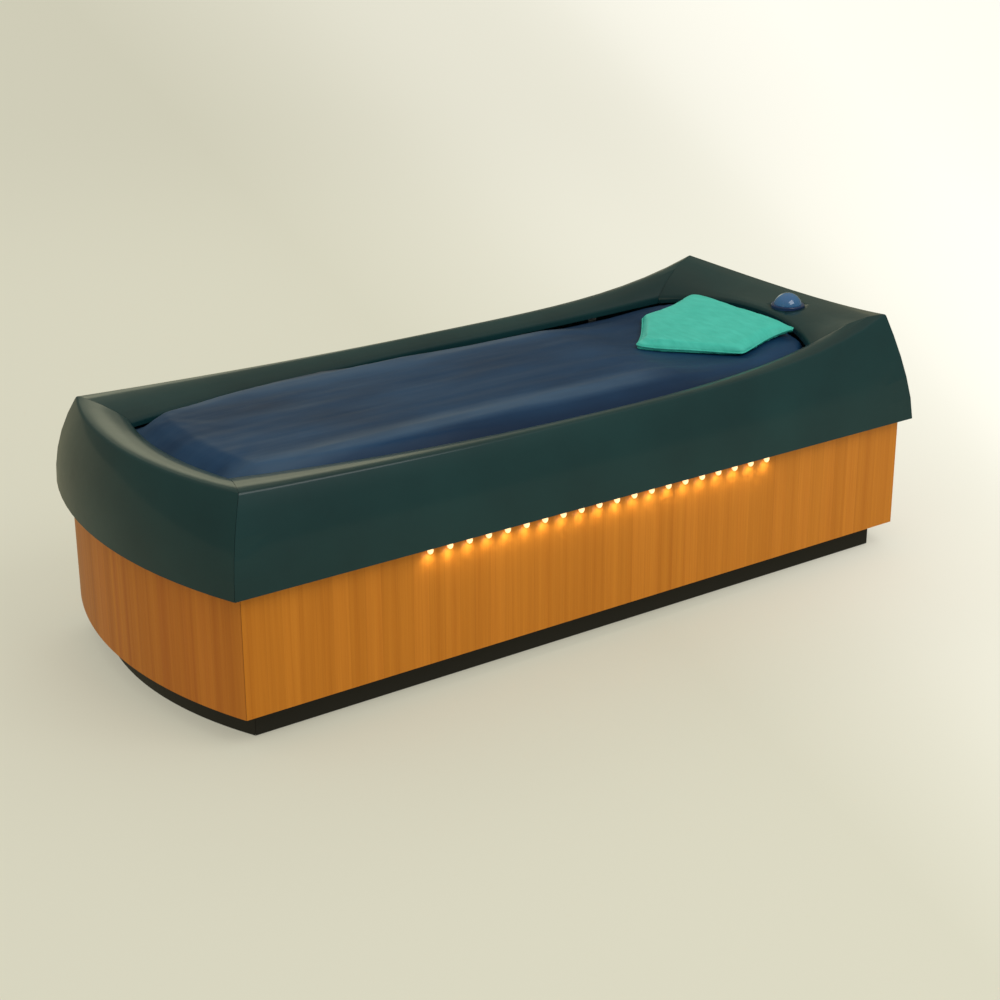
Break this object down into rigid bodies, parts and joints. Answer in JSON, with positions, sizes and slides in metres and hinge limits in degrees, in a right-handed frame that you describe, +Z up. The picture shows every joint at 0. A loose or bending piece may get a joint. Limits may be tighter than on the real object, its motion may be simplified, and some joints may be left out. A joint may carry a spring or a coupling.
{
  "type": "floating bed",
  "caption": "Warm-water floating bed: a bowed wooden skirt under a battered casing with a dipping rim, a loose membrane, a head cushion and a lifting platform in the basin.",
  "frame": {"origin": "on the floor under the middle of the bed, on the pads' undersides", "axes": "+X from the foot end to the head end, +Y to the side away from the control, +Z up"},
  "size_m": [2.332, 0.956, 0.6898],
  "materials": {
    "casing": "satin",
    "skirt_wood": "satin",
    "plinth_black": "matte",
    "plywood": "raw",
    "frame_paint": "satin",
    "foot_rubber": "matte",
    "steel": "brushed",
    "alu": "satin",
    "lamp_lens": "frosted",
    "basin": "satin",
    "insulation": "foam",
    "membrane": "soft satin",
    "cushion": "soft satin",
    "foam": "foam",
    "platform_plastic": "matte",
    "black_rubber": "matte",
    "guide_plastic": "matte",
    "fitting_plastic": "matte",
    "pump_paint": "satin",
    "motor_paint": "satin",
    "brass": "satin",
    "lever_red": "gloss",
    "blower_plastic": "matte",
    "box_plastic": "matte",
    "control_blue": "gloss"
  },
  "bodies": {
    "bed": {"levelling_pads": "foot_rubber", "levelling_stems": "steel", "lock_nuts": "steel", "base_rails": "frame_paint", "base_crossmembers": "frame_paint", "frame_posts": "frame_paint", "top_side_rails": "frame_paint", "top_cross_rails": "frame_paint", "plinth_near": "plinth_black", "plinth_far": "plinth_black", "plinth_foot": "plinth_black", "plinth_head": "plinth_black", "skirt_near": "skirt_wood", "skirt_far": "skirt_wood", "skirt_foot": "skirt_wood", "skirt_head": "skirt_wood", "skirt_battens": "plywood", "end_formers": "plywood", "casing_near": "casing", "casing_far": "casing", "casing_foot": "casing", "casing_head": "casing", "casing_brackets": "alu", "light_rails": "alu", "lamps": "lamp_lens", "water_basin": "basin", "basin_bottom": "basin", "basin_insulation": "insulation", "membrane_clamps": "alu", "membrane": "membrane", "head_shelf": "plywood", "head_wedge": "foam", "head_cushion": "cushion", "guide_rails": "guide_plastic", "bellows_bases": "fitting_plastic", "lift_bellows": "black_rubber", "service_tray": "platform_plastic", "basin_fittings": "fitting_plastic", "pump_housing": "pump_paint", "pump_motor": "motor_paint", "water_hoses": "black_rubber", "water_heater": "steel", "air_blower": "blower_plastic", "air_pipes": "fitting_plastic", "drain_valve": "brass", "control_box": "box_plastic", "mains_gland": "black_rubber", "dome_collar": "control_blue", "collar_nut": "fitting_plastic", "dome_bellows": "black_rubber", "air_line": "fitting_plastic"},
    "platform": {"platform_arms": "steel", "platform_rails": "steel", "platform_board": "platform_plastic", "platform_foam": "foam", "guide_shoes": "guide_plastic", "bellows_heads": "steel"},
    "push_dome": {"push_dome": "control_blue"},
    "drain_lever": {"drain_lever": "lever_red"},
    "pump_impeller": {"pump_impeller": "brass"}
  },
  "joints": [
    {"name": "platform_lift", "type": "slide", "parent": "bed", "child": "platform", "axis": [0, 0, 1], "range_m": [-0.25, 0], "deforming": ["lift_bellows"]},
    {"name": "dome_press", "type": "slide", "parent": "bed", "child": "push_dome", "axis": [0, 0, 1], "range_m": [-0.005, 0], "stiffness_N_per_m": 600, "springref_m": 0.004, "deforming": ["dome_bellows"]},
    {"name": "drain_turn", "type": "hinge", "parent": "bed", "child": "drain_lever", "pos_m": [0.662, -0.34, 0.19], "axis": [0, 0, 1], "range_deg": [0, 90]},
    {"name": "pump_spin", "type": "hinge", "parent": "bed", "child": "pump_impeller", "pos_m": [0.7225, -0.23, 0.222], "axis": [1, 0, 0], "continuous": true}
  ]
}
